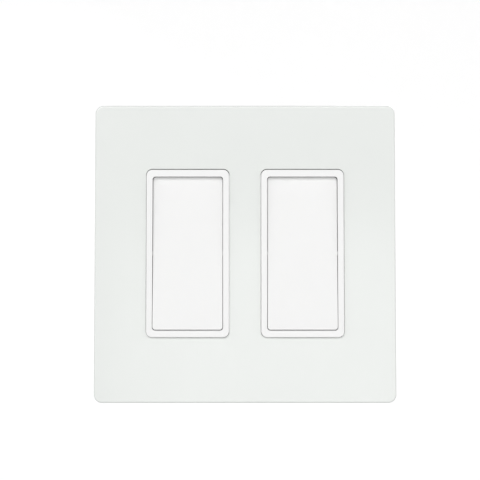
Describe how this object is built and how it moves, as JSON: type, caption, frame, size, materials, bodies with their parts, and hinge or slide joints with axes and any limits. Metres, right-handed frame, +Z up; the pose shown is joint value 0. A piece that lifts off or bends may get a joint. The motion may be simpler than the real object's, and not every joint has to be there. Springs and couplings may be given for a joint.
{
  "type": "rocker wall switch",
  "caption": "Rocker wall switch assembly: rocker switches side by side in bezel frames, behind a screwless clip-on cover plate, with straps, rear housings and wiring terminals.",
  "frame": {"origin": "centre of the four device screws' pattern, in the plane of the wall surface", "axes": "+X to the right seen from the room, +Y into the wall along the device screws, +Z up"},
  "size_m": [0.1212, 0.0346, 0.1198],
  "materials": {
    "plate_plastic": "smooth semi-gloss white with a faint cool cast",
    "switch_plastic": "smooth semi-gloss bright white",
    "sub_plate_plastic": "satin moulded white",
    "white_screw": "white enamel on steel",
    "zinc_steel": "zinc-plated stamped steel",
    "zinc_screw": "bright zinc-plated steel",
    "dark_plastic": "fine-grained dark grey thermoset",
    "nylon": "natural nylon",
    "spring_steel": "drawn spring wire",
    "copper": "rolled copper alloy",
    "silver": "silver alloy contact",
    "brass_strip": "stamped brass",
    "brass_screw": "brass-plated screw",
    "green_screw": "green dye over zinc",
    "fibre": "vulcanised fibre washer"
  },
  "bodies": {
    "fixed_parts": {"cover_plate": "plate_plastic", "sub_plate": "sub_plate_plastic", "plate_screws": "white_screw", "left_bezel_frame": "switch_plastic", "left_strap": "zinc_steel", "left_rear_housing": "dark_plastic", "left_line_terminal": "brass_strip", "left_load_terminal": "brass_strip", "left_fixed_contact": "silver", "left_terminal_screws": "brass_screw", "left_ground_screw": "green_screw", "left_mounting_screws": "zinc_screw", "left_screw_retainers": "fibre", "left_housing_screws": "zinc_screw", "right_bezel_frame": "switch_plastic", "right_strap": "zinc_steel", "right_rear_housing": "dark_plastic", "right_line_terminal": "brass_strip", "right_load_terminal": "brass_strip", "right_fixed_contact": "silver", "right_terminal_screws": "brass_screw", "right_ground_screw": "green_screw", "right_mounting_screws": "zinc_screw", "right_screw_retainers": "fibre", "right_housing_screws": "zinc_screw"},
    "left_paddle": {"left_rocker": "switch_plastic"},
    "left_pin": {"left_plunger": "nylon", "left_plunger_spring": "spring_steel"},
    "left_arm": {"left_contact_arm": "copper", "left_moving_contact": "silver"},
    "right_paddle": {"right_rocker": "switch_plastic"},
    "right_pin": {"right_plunger": "nylon", "right_plunger_spring": "spring_steel"},
    "right_arm": {"right_contact_arm": "copper", "right_moving_contact": "silver"}
  },
  "joints": [
    {"name": "left_rocker_pivot", "type": "hinge", "parent": "fixed_parts", "child": "left_paddle", "pos_m": [-0.02302, -0.006, 0], "axis": [1, 0, 0], "range_deg": [0, 6]},
    {"name": "left_plunger_slide", "type": "slide", "parent": "left_paddle", "child": "left_pin", "axis": [0, -0.9986, 0.0523], "range_m": [0, 0.0008], "stiffness_N_per_m": 300, "springref_m": -0.003, "deforming": ["left_plunger_spring"]},
    {"name": "left_contact_pivot", "type": "hinge", "parent": "fixed_parts", "child": "left_arm", "pos_m": [-0.02302, 0.01753, 0], "axis": [1, 0, 0], "range_deg": [-7.05, 0]},
    {"name": "right_rocker_pivot", "type": "hinge", "parent": "fixed_parts", "child": "right_paddle", "pos_m": [0.02302, -0.006, 0], "axis": [1, 0, 0], "range_deg": [0, 6]},
    {"name": "right_plunger_slide", "type": "slide", "parent": "right_paddle", "child": "right_pin", "axis": [0, -0.9986, 0.0523], "range_m": [0, 0.0008], "stiffness_N_per_m": 300, "springref_m": -0.003, "deforming": ["right_plunger_spring"]},
    {"name": "right_contact_pivot", "type": "hinge", "parent": "fixed_parts", "child": "right_arm", "pos_m": [0.02302, 0.01753, 0], "axis": [1, 0, 0], "range_deg": [-7.05, 0]}
  ],
  "couplings": [
    {"joint": "left_contact_pivot", "follows": "left_rocker_pivot", "ratio": -1.1667},
    {"joint": "right_contact_pivot", "follows": "right_rocker_pivot", "ratio": -1.1667}
  ]
}
